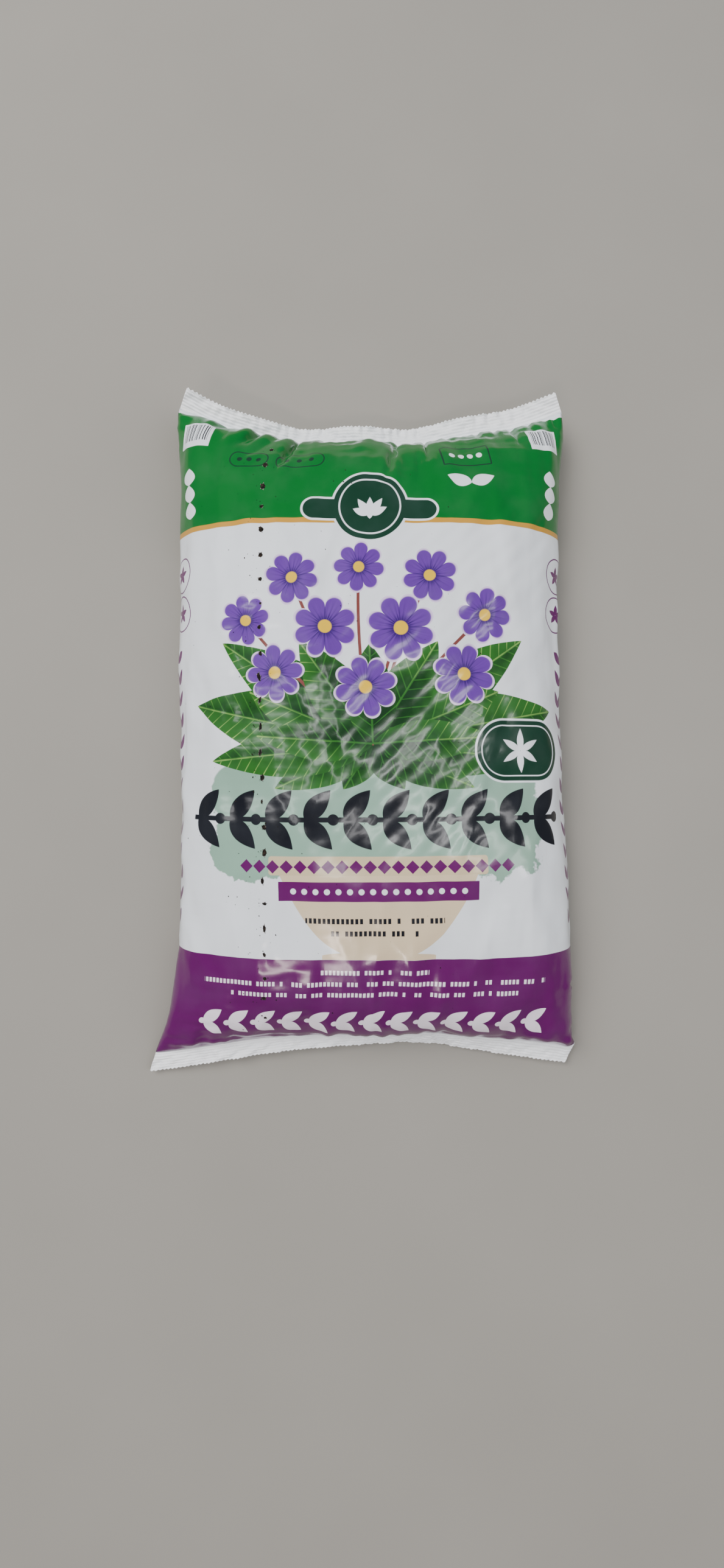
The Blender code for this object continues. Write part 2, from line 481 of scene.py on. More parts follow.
def pinked_middle(film, first, along):
    """The middle layer of an end seal, from inside its root to its toothed edge, and its depths."""
    rows, columns = film.shape[:2]
    depth_rows = seal_rows(film)
    front = slice(0, columns // 2 + 1)
    root = resampled(film[depth_rows if first else rows - 1 - depth_rows, front], len(along))
    outer = resampled(film[0 if first else rows - 1, front], len(along))
    tooth = np.abs((np.arange(len(along)) / 2) % 2 - 1)
    reach = 1 - TOOTH_DEPTH / SEAL_DEPTH * tooth
    share = np.linspace(-SEAL_TUCK / SEAL_DEPTH, 1, SEAL_LINES)[:, None]
    share = np.where(share > 0, share * reach, share)
    return root + share[..., None] * (outer - root), share * SEAL_DEPTH


def make_seal(name, film, first):
    """A crimped and pinked end seal: the two layers of film, pressed together in ridges."""
    count = 4 * round(TUBE_WIDTH / TOOTH_PITCH) + 1
    along = np.linspace(-TUBE_WIDTH / 2, TUBE_WIDTH / 2, count)
    middle, depth = pinked_middle(film, first, along)
    side, away = np.gradient(middle, axis=1), np.gradient(middle, axis=0)
    normal = np.cross(away, side) if first else np.cross(side, away)
    normal /= np.linalg.norm(normal, axis=-1, keepdims=True)
    if normal[..., 2].mean() < 0:
        normal = -normal
    ridges = np.sin(2 * np.pi * depth / RIDGE_PITCH) * np.clip(depth / MM, 0, 1)
    ridges = ridges * (1 + 0.35 * np.sin(2 * np.pi * along / (1.6 * MM)))
    lap = np.clip(1 - (np.abs(along - LAP_MIDDLE) - LAP_WIDTH / 2) / (0.5 * MM), 0, 1)
    offset = RIDGE_HEIGHT * ridges + crinkled(along, depth, 31 if first else 32)
    thick = SEAL_THICKNESS / 2 * np.clip(2 * (depth - depth.min()) / SEAL_TUCK, 0.1, 1)
    front = middle + (offset + thick + LAP_THICKNESS * 0.3 * lap)[..., None] * normal
    back = middle + (offset - thick - LAP_THICKNESS * lap)[..., None] * normal
    back[..., 2] = np.maximum(back[..., 2], 0.05 * MM)
    front[..., 2] = np.maximum(front[..., 2], back[..., 2] + 0.1 * MM)
    obj, faces = slab(name, front, back)
    v = (CUT_LENGTH / 2 - SEAL_DEPTH + depth) * (-1 if first else 1)
    u = np.broadcast_to(along, v.shape).ravel()
    u, v = np.concatenate([u, TUBE_WIDTH - u])[faces], np.concatenate([v.ravel(), v.ravel()])[faces]
    rim = 2 * (SEAL_LINES - 1) * (count - 1)
    u[rim:] = u[rim:, :1]
    film_uv(obj, u.ravel(), v.ravel())
    point_outwards(obj)
    return obj


def point_outwards(obj):
    mesh = bmesh.new()
    mesh.from_mesh(obj.data)
    bmesh.ops.recalc_face_normals(mesh, faces=mesh.faces)
    mesh.to_mesh(obj.data)
    mesh.free()


def make_lap(film):
    """The back seal: a strip of doubled film, pressed flat along the middle of the back."""
    between = slice(seal_rows(film) + 1, film.shape[0] - seal_rows(film) - 1)
    wide = 2 * TUBE_WIDTH / film.shape[1]
    middle = (1.5 * TUBE_WIDTH - LAP_MIDDLE) / wide
    places = middle + np.linspace(-0.5, 0.5, 11) * LAP_WIDTH / wide
    low = places.astype(int)
    part = (places - low)[None, :, None]
    body, normals = film[between], unit_normals(film)[between]
    on_film = body[:, low] * (1 - part) + body[:, low + 1] * part
    outward = normals[:, low] * (1 - part) + normals[:, low + 1] * part
    inner = on_film - 0.10 * MM * outward
    outer = on_film + LAP_THICKNESS * outward
    outer[..., 2] = np.maximum(outer[..., 2], 0.0)
    inner[..., 2] = np.maximum(inner[..., 2], outer[..., 2] + 0.05 * MM)
    obj, faces = slab("back_seal", outer, inner)
    v = np.linspace(-CUT_LENGTH / 2 + SEAL_DEPTH, CUT_LENGTH / 2 - SEAL_DEPTH, on_film.shape[0])
    u, v = np.meshgrid(places * wide - TUBE_WIDTH / 2, v)
    film_uv(obj, u.ravel()[faces.ravel() % u.size], v.ravel()[faces.ravel() % u.size])
    point_outwards(obj)
    return obj


# ---------------------------------------------------------------- writing node trees


class Value:
    """A number in a node tree. Arithmetic with it adds the nodes that work it out."""

    def __init__(self, tree, socket):
        self.tree, self.socket = tree, socket

    def math(self, operation, *others):
        return self.tree.math(operation, self, *others)

    def __add__(self, other):
        return self.math("ADD", other)

    def __sub__(self, other):
        return self.math("SUBTRACT", other)

    def __rsub__(self, other):
        return self.tree.math("SUBTRACT", other, self)

    def __mul__(self, other):
        return self.math("MULTIPLY", other)

    def __truediv__(self, other):
        return self.math("DIVIDE", other)

    def __pow__(self, other):
        return self.math("POWER", other)

    def __abs__(self):
        return self.math("ABSOLUTE")

    __radd__ = __add__
    __rmul__ = __mul__

    def most(self, *others):
        highest = self
        for other in others:
            highest = highest.math("MAXIMUM", other)
        return highest

    def least(self, other):
        return self.math("MINIMUM", other)

    def unit(self):
        """The value held between 0 and 1."""
        return self.most(0.0).least(1.0)

    def cell(self, pitch):
        """The share of the way through the cell of a repeat."""
        return (self / pitch).math("FRACT")

    def ramp(self, low, high):
        """0 at low and 1 at high, smooth between them."""
        made = self.tree.node("ShaderNodeMapRange", interpolation_type="SMOOTHSTEP", clamp=False)
        for name, each in (("Value", self), ("From Min", low), ("From Max", high)):
            self.tree.put(made.inputs[name], each)
        return Value(self.tree, made.outputs[0])

    def inside(self, soft=0.25):
        """1 where this distance is below 0, with a soft edge as wide as ink leaves."""
        return (0.5 - self / soft).unit()


class Tree:
    """A short way to write a node tree."""

    def __init__(self, tree):
        self.tree = tree

    def node(self, kind, *values, **settings):
        made = self.tree.nodes.new(kind)
        for name, value in settings.items():
            setattr(made, name, value)
        for socket, value in zip(made.inputs, values):
            self.put(socket, value)
        return made

    def put(self, socket, value):
        """Links a value to a socket, or sets it as the socket's constant."""
        if isinstance(value, Value):
            value = value.socket
        if isinstance(value, bpy.types.NodeSocket):
            self.tree.links.new(value, socket)
        elif value is not None:
            socket.default_value = value

    def math(self, operation, *values):
        """One step of arithmetic."""
        return Value(self, self.node("ShaderNodeMath", *values, operation=operation).outputs[0])

    def paint(self, under, share, over):
        """One colour over another, as much as its share."""
        made = self.node("ShaderNodeMix", data_type="RGBA")
        self.put(made.inputs[0], share)
        self.put(made.inputs[6], under)
        self.put(made.inputs[7], over)
        return made.outputs[2]

    def noise(self, vector, scale, detail=2.0, roughness=0.5, dimensions="3D", w=None):
        made = self.node("ShaderNodeTexNoise", noise_dimensions=dimensions)
        named = {"Vector": vector, "W": w, "Scale": scale, "Detail": detail, "Roughness": roughness}
        for name, value in named.items():
            if value is not None:
                self.put(made.inputs[name], value)
        return Value(self, made.outputs[0])

    def line_noise(self, w, detail=0):
        """Noise that changes along one line only."""
        return self.noise(None, 1.0, detail, dimensions="1D", w=w)

    def group(self, group, *values):
        """A node group's outputs for these inputs."""
        made = self.node("ShaderNodeGroup")
        made.node_tree = group
        for socket, value in zip(made.inputs, values):
            self.put(socket, value)
        return [Value(self, socket) for socket in made.outputs]


def length(first, second):
    return (first * first + second * second).math("SQRT")


def turned(u, v, turn):
    """The place u, v in axes that are turned by that angle."""
    cosine, sine = u.tree.math("COSINE", turn), u.tree.math("SINE", turn)
    return u * cosine + v * sine, v * cosine - u * sine


def box(u, v, centre, half, rounding=0.0):
    """Distance outside a box with rounded corners."""
    du = abs(u - centre[0]) - (half[0] - rounding)
    dv = abs(v - centre[1]) - (half[1] - rounding)
    corner = length(du.most(0.0), dv.most(0.0))
    return corner + du.most(dv).least(0.0) - rounding


def disc(u, v, centre, radius):
    """Distance outside a disc."""
    return length(u - centre[0], v - centre[1]) - radius


def add_sockets(group, in_out, kind, *labels):
    for label in labels:
        group.interface.new_socket(label, in_out=in_out, socket_type="NodeSocket" + kind)


def shader_group(name, build, inputs, outputs):
    """A node group of numbers; build gets its tree and inputs and returns its outputs."""
    group = bpy.data.node_groups.new(name, "ShaderNodeTree")
    add_sockets(group, "INPUT", "Float", *inputs)
    add_sockets(group, "OUTPUT", "Float", *outputs)
    tree = Tree(group)
    entry = group.nodes.new("NodeGroupInput")
    leave = group.nodes.new("NodeGroupOutput")
    made = build(tree, *[Value(tree, entry.outputs[k]) for k in range(len(inputs))])
    for socket, value in zip(leave.inputs, made):
        tree.put(socket, value)
    return group


def srgb(red, green, blue):
    """A colour given as 0 to 255, as the shader needs it."""
    parts = [c / 255 for c in (red, green, blue)]
    return tuple(c / 12.92 if c <= 0.04045 else ((c + 0.055) / 1.055) ** 2.4 for c in parts) + (1,)


# ---------------------------------------------------------------- the printed motifs


def build_leaf(tree, u, v, x, y, turn, long, width):
    """A pointed leaf from its stalk at x, y, with a midrib and side veins."""
    along, aside = turned(u - x, v - y, turn)
    bulge = ((along / long).unit() ** 0.8 * math.pi).math("SINE")
    half = bulge.most(0.0) ** 0.85 * width
    away = abs(aside)
    covered = (away - half + 0.2).inside()
    rib = away.ramp(0.7, 0.2)
    vein = abs((along - away * 0.8).cell(5.5) - 0.5).ramp(0.10, 0.02) * 0.35
    rounding = (away / (half + 0.1)).unit() * 0.22
    half_tone = aside.ramp(-0.4, 0.4) * 0.16
    blotch = tree.noise(tree.node("ShaderNodeCombineXYZ", u, v).outputs[0], 0.16, 3) * 0.4
    return covered, blotch + half_tone + rounding + (rib * 0.5).most(vein)


def build_bloom(tree, u, v, x, y, radius, turn):
    """A round daisy at x, y: how much petal and eye there is, and how light they are."""
    du, dv = u - x, v - y
    away = length(du, dv)
    angle = dv.math("ARCTAN2", du) + turn
    lobe = abs((angle * (PETALS / 2)).math("COSINE"))
    edge = radius * (0.60 + lobe**0.45 * 0.40)
    share = away / edge
    rim = share.ramp(0.86, 0.97) * 0.50
    fold = lobe.ramp(0.30, 0.05) * share.ramp(1.0, 0.5) * -0.22
    streak = (tree.line_noise(angle * 9.0, 2) - 0.5) * share.ramp(0.95, 0.3) * 0.5
    throat = share.ramp(0.5, 0.15) * -0.25
    eye = (away - radius * 0.20).inside(0.5)
    return (away - edge).inside(), 0.42 + rim + fold + streak + throat, eye


def build_stem(tree, u, v, x, y, turn, long):
    """A thin stem from one place to another, slightly bowed."""
    along, aside = turned(u - x, v - y, turn)
    share = (along / long).unit()
    bow = share * (1.0 - share) * 9.0
    return ((length(aside - bow, abs(along - share * long)) - 0.75).inside(),)


def build_dashes(tree, u, v, middle, half_width, height, pitch, seed):
    """A row of short bars, broken at uneven places, as a line of small print reads from afar."""
    tall = (abs(v - middle) - height * 0.5).inside()
    held = (abs(u) - half_width).inside()
    cell = (u + seed) / pitch
    bar = (abs(cell.math("FRACT") - 0.5) - 0.33).inside(0.12)
    words = tree.line_noise(cell.math("FLOOR") * 0.47)
    return (tall * held * bar * words.math("GREATER_THAN", 0.40),)


def motifs():
    """The node groups that the print is put together from."""
    spot = ["U", "V", "X", "Y"]
    row = ["U", "V", "Middle", "Half width", "Height", "Pitch", "Seed"]
    kinds = (
        ("leaf", build_leaf, [*spot, "Turn", "Length", "Width"], ["Inside", "Shade"]),
        ("bloom", build_bloom, [*spot, "Radius", "Turn"], ["Petal", "Shade", "Eye"]),
        ("stem", build_stem, [*spot, "Turn", "Length"], ["Inside"]),
        ("dashes", build_dashes, row, ["Inside"]),
    )
    return {name: shader_group("printed " + name, *rest) for name, *rest in kinds}


PETALS = 8

# The print, in millimetres on the flat film. Leaves: turn in degrees, length, half width
LEAF_ROOT = (1, -8)
BACK_LEAVES = (
    *((236, 26, 8), (-56, 26, 8), (204, 52, 10), (-24, 52, 10)),
    *((168, 92, 17), (146, 88, 15), (34, 90, 15), (10, 94, 17)),
    *((-6, 80, 12), (186, 80, 12)),
)
FRONT_LEAVES = (
    *((157, 64, 14), (125, 60, 13), (22, 66, 14), (57, 58, 13)),
    *((91, 48, 12), (176, 56, 10), (3, 58, 10)),
)
# Blooms: place, radius, turn
BLOOMS = (
    (-37, 72, 13.5, 0.2),
    (-5, 77, 13.0, 0.9),
    (29, 73, 14.0, 0.5),
    (-60, 52, 13.0, 1.4),
    (56, 54, 14.0, 0.1),
    (-21, 48, 16.0, 0.4),
    (15, 47, 17.0, 1.1),
    (-45, 26, 14.5, 0.7),
    (45, 25, 15.5, 0.3),
    (-2, 19, 15.5, 1.3),
)
# Panels of the print: each has a material of its own, with only the marks that reach it
PANEL_BANDS = (-181, -110, -62, -20, 36, 88, 181)
PANEL_COLUMNS = (-110, -36, 36, 110)
MARGIN = 2.0
ALL_ROUND = 400

WHITE = srgb(226, 231, 238)
SEAL_WHITE = srgb(246, 248, 252)
GREEN = srgb(0, 100, 36)
DEEP_GREEN = srgb(14, 52, 36)
GOLD = srgb(192, 142, 52)
PURPLE = srgb(90, 2, 87)
SAGE = srgb(126, 162, 143)
CLAY = srgb(210, 190, 160)
CLAY_RIM = srgb(200, 182, 150)
STALK = srgb(118, 62, 58)
EYE_YELLOW = srgb(222, 180, 40)
INK = srgb(16, 18, 26)
LILAC_WHITE = srgb(236, 226, 238)
# From dark to light, with the shades between which each pair blends
LEAF_GREENS = (srgb(10, 48, 16), (0.05, 0.55), srgb(38, 98, 32), (0.55, 1.05), srgb(132, 172, 88))
PETAL_PURPLES = (srgb(44, 14, 92), (0.10, 0.50), srgb(98, 52, 150), (0.60, 1.0), srgb(222, 204, 236))


class Panel:
    """One panel of the print. Inks are laid on it in order, marks that miss it are left out."""

    def __init__(self, tree, kit, u, v, place, box):
        self.tree, self.kit, self.u, self.v, self.place, self.box = tree, kit, u, v, place, box
        self.colour = WHITE

    def reached(self, u, v, reach_u, reach_v=None):
        """Whether a mark round u, v with that reach lies on this panel."""
        low_u, high_u, low_v, high_v = self.box
        reach_v = reach_u if reach_v is None else reach_v
        return low_u - reach_u < u < high_u + reach_u and low_v - reach_v < v < high_v + reach_v

    def on_side(self, u, v, reach_u, reach_v=None):
        """The same for a mark that is printed near both edges."""
        return self.reached(u, v, reach_u, reach_v) or self.reached(-u, v, reach_u, reach_v)

    def ink(self, share, colour):
        self.colour = self.tree.paint(self.colour, share, colour)

    def shaded(self, share, shade, colours):
        """Inks a shape in a dark, a middle and a light colour by its shade."""
        dark, first, middle, second, light = colours
        colour = self.tree.paint(dark, shade.ramp(*first), middle)
        self.ink(share, self.tree.paint(colour, shade.ramp(*second), light))

    def fill(self, distance, colour, soft=0.25):
        self.ink(distance.inside(soft), colour)

    def outline(self, distance, half_line, colour):
        self.fill(abs(distance) - half_line, colour)

    def leaf(self, x, y, turn, long, width, u=None, v=None):
        """How much of a leaf there is, and its shade."""
        u, v = self.u if u is None else u, self.v if v is None else v
        return self.tree.group(self.kit["leaf"], u, v, x, y, math.radians(turn), long, width)

    def sprig(self, places, colour, **where):
        """Plain leaves of one colour."""
        for place in places:
            self.ink(self.leaf(*place, **where)[0], colour)

    def leaf_reached(self, x, y, turn, long, width):
        middle_u = x + 0.5 * long * math.cos(math.radians(turn))
        middle_v = y + 0.5 * long * math.sin(math.radians(turn))
        return self.reached(middle_u, middle_v, 0.5 * long + 0.5 * width)

    def dashes(self, middle, half_width, height, pitch, seed, colour, u=None):
        if self.reached(0, middle, ALL_ROUND, height):
            u = self.u if u is None else u
            row = (u, self.v, middle, half_width, height, pitch, seed)
            self.ink(self.tree.group(self.kit["dashes"], *row)[0], colour)


def print_ground(panel):
    """Everything that runs right round the bag: white film, green head, gold line, purple foot."""
    v = panel.v
    if panel.reached(0, 134, ALL_ROUND, 36):
        panel.ink(v.ramp(101.0, 101.3) * v.ramp(167.0, 166.7), GREEN)
        panel.outline(v - 100.8, 1.3, GOLD)
    if panel.reached(0, -140, ALL_ROUND, 32):
        panel.ink(v.ramp(-110.4, -110.7) * v.ramp(-169.6, -169.3), PURPLE)


def print_wash(panel):
    """A pale sage wash with a ragged lower edge."""
    if panel.reached(1, -46, 90, 36):
        ragged = (panel.tree.noise(panel.place, 0.055, 4, 0.6) - 0.5) * 26.0
        wash = box(panel.u, panel.v, (1, -45), (80, 27), 12) + ragged * panel.v.ramp(-20.0, -38.0)
        panel.ink(wash.inside(0.8) * 0.95, SAGE)


def print_bowl(panel):
    """A clay bowl on a foot, a purple ribbon of beads and two dark rows of dashes on it."""
    if not panel.reached(2, -86, 60, 32):
        return
    u, v, pitch = panel.u, panel.v, 5.4
    bowl = ((v + 110.0) / 48.0).unit() ** 0.36 * 50.0
    width = bowl.most(v.ramp(-105.0, -108.5) * 27.0)
    across = abs(u - 2.0)
    panel.fill((across - width).most(v + 64.0, -110.5 - v), CLAY)
    panel.fill(box(u, v, (2, -65.5), (52, 4.5), 1.5), CLAY_RIM)
    for k, middle in enumerate((-91.5, -97.5)):
        panel.dashes(middle, 33.0 - 12 * k, 2.6, 2.2, 3.0 + 40 * k, INK)
    panel.fill(box(u, v, (2, -77.6), (47.5, 4.6), 0.3), PURPLE)
    bead = length(abs((u - 2.0).cell(pitch) - 0.5) * pitch, v + 77.6)
    panel.ink((bead - 1.4).inside() * (across - 8 * pitch).inside(), WHITE)


def print_buds(panel):
    """A row of small purple buds above the bowl."""
    if panel.reached(1, -66, 70, 5):
        centred, pitch = panel.u - 1.5, 6.6
        local = (centred.cell(pitch) - 0.5) * pitch
        bud = abs(local) + abs(panel.v + 66.0) - 3.2
        panel.ink(bud.inside() * (abs(centred) - 10 * pitch).inside(), PURPLE)


def print_garland(panel):
    """A dark garland in the place of a heading: a straight stem with paired leaves."""
    if not panel.reached(2, -43.8, 98, 18):
        return
    centred, middle, pitch = panel.u - 2.5, -43.8, 18.6
    local = centred.cell(pitch) * pitch
    garland = (abs(panel.v - middle) - 1.2).inside()
    for shift in (0.0, pitch):
        for turn in (48, -48):
            garland = garland.most(panel.leaf(2.6, middle, turn, 19.0, 4.8, u=local + shift)[0])
    berry = disc(local, panel.v, (pitch * 0.86, middle), 2.7).inside()
    panel.ink(garland.most(berry) * (abs(centred) - 5 * pitch).inside(), INK)


def print_leaves(panel, leaves, lighter):
    """Leaves from one root, darker where they crowd."""
    crowd = length(panel.u, panel.v - 6.0)
    lighter = lighter - crowd.ramp(62.0, 6.0) * 0.34
    for leaf in leaves:
        if panel.leaf_reached(*LEAF_ROOT, *leaf):
            covered, shade = panel.leaf(*LEAF_ROOT, *leaf)
            panel.shaded(covered, shade + lighter, LEAF_GREENS)


def print_bouquet(panel):
    """A fan of pointed leaves and a dome of daisies above it."""
    root_u, root_v = LEAF_ROOT
    print_leaves(panel, BACK_LEAVES, 0.0)
    for x, y, _, _ in BLOOMS:
        turn, long = math.atan2(y - root_v, x - root_u), math.hypot(x - root_u, y - root_v)
        if panel.leaf_reached(root_u, root_v, math.degrees(turn), long, 6):
            stem = (panel.u, panel.v, root_u, root_v, turn, long)
            panel.ink(panel.tree.group(panel.kit["stem"], *stem)[0], STALK)
    print_leaves(panel, FRONT_LEAVES, 0.10)
    for x, y, radius, turn in BLOOMS:
        if panel.reached(x, y, radius + 1):
            bloom = (panel.u, panel.v, x, y, radius, turn)
            petal, shade, eye = panel.tree.group(panel.kit["bloom"], *bloom)
            panel.shaded(petal, shade, PETAL_PURPLES)
            panel.ink(eye, EYE_YELLOW)


def print_tag(panel):
    """A round dark tag with a white edge beside the bouquet."""
    centre = (73.5, -11.5)
    if panel.reached(*centre, 27, 18):
        tag = box(panel.u, panel.v, centre, (23, 14.5), 14)
        panel.fill(tag - 1.0, WHITE)
        panel.fill(tag, DEEP_GREEN)
        panel.outline(tag + 2.4, 0.3, WHITE)
        panel.sprig([(*centre, turn, 11.0, 1.9) for turn in range(30, 390, 60)], WHITE)


def print_side_marks(panel):
    """What runs down both sides: purple rings, and a climbing row of small leaves."""
    v, side, pitch = panel.v, abs(panel.u), 11.0
    for middle in (79, 59):
        if panel.on_side(103, middle, 10):
            panel.outline(disc(side, v, (103, middle), 9), 0.35, PURPLE)
            star = [(103.0, float(middle), turn, 5.5, 1.5) for turn in range(18, 378, 72)]
            panel.sprig(star, PURPLE, u=side)
    if panel.on_side(106, -30, 12, 72):
        local = v.cell(pitch) * pitch
        left, right = [panel.leaf(106.5, 0.6, turn, 9.5, 2.0, u=side, v=local)[0] for turn in (62, 118)]
        panel.ink(left.most(right) * (v.ramp(40.2, 39.8) * v.ramp(-99.2, -98.8)), PURPLE)


def print_badge(panel):
    """A round dark badge on the gold line, holding a plain white sprig."""
    centre = (0, 108.5)
    if not panel.reached(*centre, 36, 20):
        return
    round_part = disc(panel.u, panel.v, centre, 17.8)
    badge = round_part.least(box(panel.u, panel.v, (0, 107), (32.5, 5.2), 5.1))
    panel.fill(badge - 1.1, WHITE)
    panel.fill(badge, DEEP_GREEN)
    panel.outline(round_part + 3.0, 0.4, WHITE)
    low_leaves = ((55, 10.5), (125, 10.5), (22, 9.0), (158, 9.0))
    sprig = [(0.0, 104.0, turn, long, 2.3) for turn, long in low_leaves]
    panel.sprig([(0.0, 101.5, 90, 12.5, 2.3), *sprig], WHITE)


def print_head_marks(panel):
    """Small plain marks in the head: two pills, a framed row of dots and a sprout."""
    u, v = panel.u, panel.v
    for x, half in ((-62, 9.5), (-36, 12.5)):
        if panel.reached(x, 136, half + 1, 6):
            panel.outline(box(u, v, (x, 136), (half, 4.6), 4.5), 0.3, DEEP_GREEN)
            for k in (-1, 0, 1):
                panel.fill(disc(u, v, (x + k * half * 0.5, 136), 1.3), DEEP_GREEN)
    if panel.reached(49, 131, 17, 20):
        across, up = turned(u - 49.0, v - 139.0, 0.06)
        panel.outline(box(across, up, (0, 0), (12, 6.5), 0.5), 0.35, DEEP_GREEN)
        for k in range(4):
            panel.fill(disc(across, up, (k * 4.6 - 6.9, 0), 1.5), WHITE)
        panel.sprig([(50.0, 121.0, turn, 12.5, 3.6) for turn in (20, 160)], WHITE)


def print_head_sides(panel):
    """At both ends of the head: a stack of white drops under a block of bars."""
    if panel.on_side(97, 132, 14, 30):
        v, side = panel.v, abs(panel.u)
        panel.sprig([(94.0, 106.5 + 8.6 * k, 90, 8.8, 4.4) for k in range(3)], WHITE, u=side)
        panel.fill(box(side, v, (93.5, 151.0), (8.5, 7.0), 0.2), WHITE)
        stripe = panel.tree.line_noise(side * 1.9).ramp(0.50, 0.53)
        panel.ink(box(side, v, (93.5, 152.0), (7.0, 4.8)).inside() * stripe, INK)


def print_foot(panel):
    """The rows of white dashes and the bold white border on the purple foot."""
    if not panel.reached(0, -136, ALL_ROUND, 26):
        return
    for middle, half, seed in ((-117.2, 26.0, 5.0), (-123.2, 84.0, 57.0), (-129.0, 70.0, 91.0)):
        panel.dashes(middle, half, 2.3, 1.9, seed, LILAC_WHITE)
    middle, pitch = -146.5, 13.4
    local = (panel.u + pitch / 2).cell(pitch) * pitch
    border = disc(local, panel.v, (2.0, middle), 1.7).inside()
    for turn in (38, -38):
        border = border.most(panel.leaf(2.8, middle, turn, 12.6, 3.3, u=local)[0])
    panel.ink(border * (abs(panel.u) - 6.5 * pitch).inside(), LILAC_WHITE)


def print_back(panel):
    """Rows of dashes on the back, where such a bag has its small print."""
    back_u = 220.0 - panel.u
    for k in range(14):
        panel.dashes(84.0 - 9 * k, 78.0 - 6.0 * (k % 3), 2.4, 2.1, 7.0 + 31 * k, DEEP_GREEN, u=back_u)


FRONT_PRINT = (
    *(print_wash, print_bowl, print_buds, print_garland, print_bouquet, print_tag),
    *(print_side_marks, print_badge, print_head_marks, print_head_sides, print_foot),
)


# ---------------------------------------------------------------- the materials


def new_material(name):
    """A new material, its node tree and its shader's sockets."""
    material = bpy.data.materials.new(name)
    material.use_nodes = True
    return material, Tree(material.node_tree), material.node_tree.nodes["Principled BSDF"].inputs


def film_material(name, kit, box, marks):
    """Glossy printed polyethylene film, with the grit of the compost pressing through."""
    material, tree, sockets = new_material(name)
    uv = tree.node("ShaderNodeUVMap", uv_map="film").outputs[0]
    parts = tree.node("ShaderNodeSeparateXYZ", uv).outputs
    u, v = Value(tree, parts[0]) * 100.0, Value(tree, parts[1]) * 100.0
    place = tree.node("ShaderNodeCombineXYZ", u, v).outputs[0]

    panel = Panel(tree, kit, u, v, place, box)
    for draw in marks:
        draw(panel)
    if max(abs(box[2]), abs(box[3])) > 170:
        panel.ink(abs(v).ramp(169.6, 169.9), SEAL_WHITE)
    panel.ink(tree.noise(place, 0.05, 3).ramp(0.35, 0.75) * 0.03, srgb(150, 158, 170))
    tree.put(sockets["Base Color"], panel.colour)

    tree.put(sockets["Roughness"], 0.15 + tree.noise(place, 0.5, 3, 0.6) * 0.11)
    sockets["IOR"].default_value = 1.5
    sockets["Coat Weight"].default_value = 0.25
    sockets["Coat Roughness"].default_value = 0.09

    grit = tree.noise(place, 0.55, 2, 0.5) * 0.05
    stretched = tree.node("ShaderNodeCombineXYZ", u * 0.22, v * 0.04).outputs[0]
    drawn = tree.noise(stretched, 1.0, 3, 0.55) * 0.28
    bump = tree.node("ShaderNodeBump")
    bump.inputs["Strength"].default_value = 0.5
    bump.inputs["Distance"].default_value = 0.5 * MM
    tree.put(bump.inputs["Height"], grit + drawn)
    tree.put(sockets["Normal"], bump.outputs[0])
    return material


def film_materials():
    """A material for each panel of the front, then one for the back and one for the seals."""
    kit = motifs()
    made = []
    for low_v, high_v in zip(PANEL_BANDS, PANEL_BANDS[1:]):
        for low_u, high_u in zip(PANEL_COLUMNS, PANEL_COLUMNS[1:]):
            reach = (low_u - MARGIN, high_u + MARGIN, low_v - MARGIN, high_v + MARGIN)
            name = f"printed film {len(made) + 1}"
            made.append(film_material(name, kit, reach, (print_ground, *FRONT_PRINT)))
    made.append(film_material("printed film back", kit, (110, 330, -181, 181), (print_ground, print_back)))
    made.append(film_material("crimped film", kit, (-110, 330, 171, 181), ()))
    return made


def panel_of(u, v):
    """The number of the panel, and so of the material, at each place on the film."""
    columns = np.digitize(u, np.array(PANEL_COLUMNS[1:]) * MM)
    bands = np.digitize(v, np.array(PANEL_BANDS[1:-1]) * MM)
    front = bands * 3 + np.minimum(columns, 2)
    return np.where(columns > 2, (len(PANEL_BANDS) - 1) * 3, front)


def mixed_material(name, scale, detail, mixing, first, second, roughness):
    """A rough material of two colours, mixed by noise."""
    material, tree, sockets = new_material(name)
    noise = tree.noise(tree.node("ShaderNodeTexCoord").outputs["Object"], scale, detail)
    tree.put(sockets["Base Color"], tree.paint(first, mixing(noise), second))
    sockets["Roughness"].default_value = roughness
    return material


def soil_material():
    """Dark damp compost."""
    dark, light = srgb(16, 13, 12), srgb(52, 40, 32)
    return mixed_material("damp compost", 900.0, 3, lambda noise: noise.ramp(0.4, 0.75), dark, light, 0.9)


def torn_material():
    """Film torn and soiled round a vent prick."""
    film, soil = srgb(128, 124, 122), srgb(38, 32, 29)
    return mixed_material("torn film", 1100.0, 2, lambda noise: noise.ramp(0.42, 0.58), film, soil, 0.45)


# ---------------------------------------------------------------- vents and crumbs


class Surface:
    """The film as a surface that can be asked for a place and its outward direction."""

    def __init__(self, film):
        self.film = film
        self.normals = unit_normals(film)

    def at(self, u, v):
        rows, columns = self.film.shape[:2]
        column = (u + TUBE_WIDTH / 2) / (2 * TUBE_WIDTH) * columns
        row = (v / CUT_LENGTH + 0.5) * (rows - 1)
        i, j = int(row), int(column)
        a, b = row - i, column - j
        corners = (slice(i, i + 2), slice(j, j + 2))
        weights = np.outer((1 - a, a), (1 - b, b))[..., None]
        point = (weights * self.film[corners]).sum((0, 1))
        normal = (weights * self.normals[corners]).sum((0, 1))
        return point, normal / np.linalg.norm(normal)


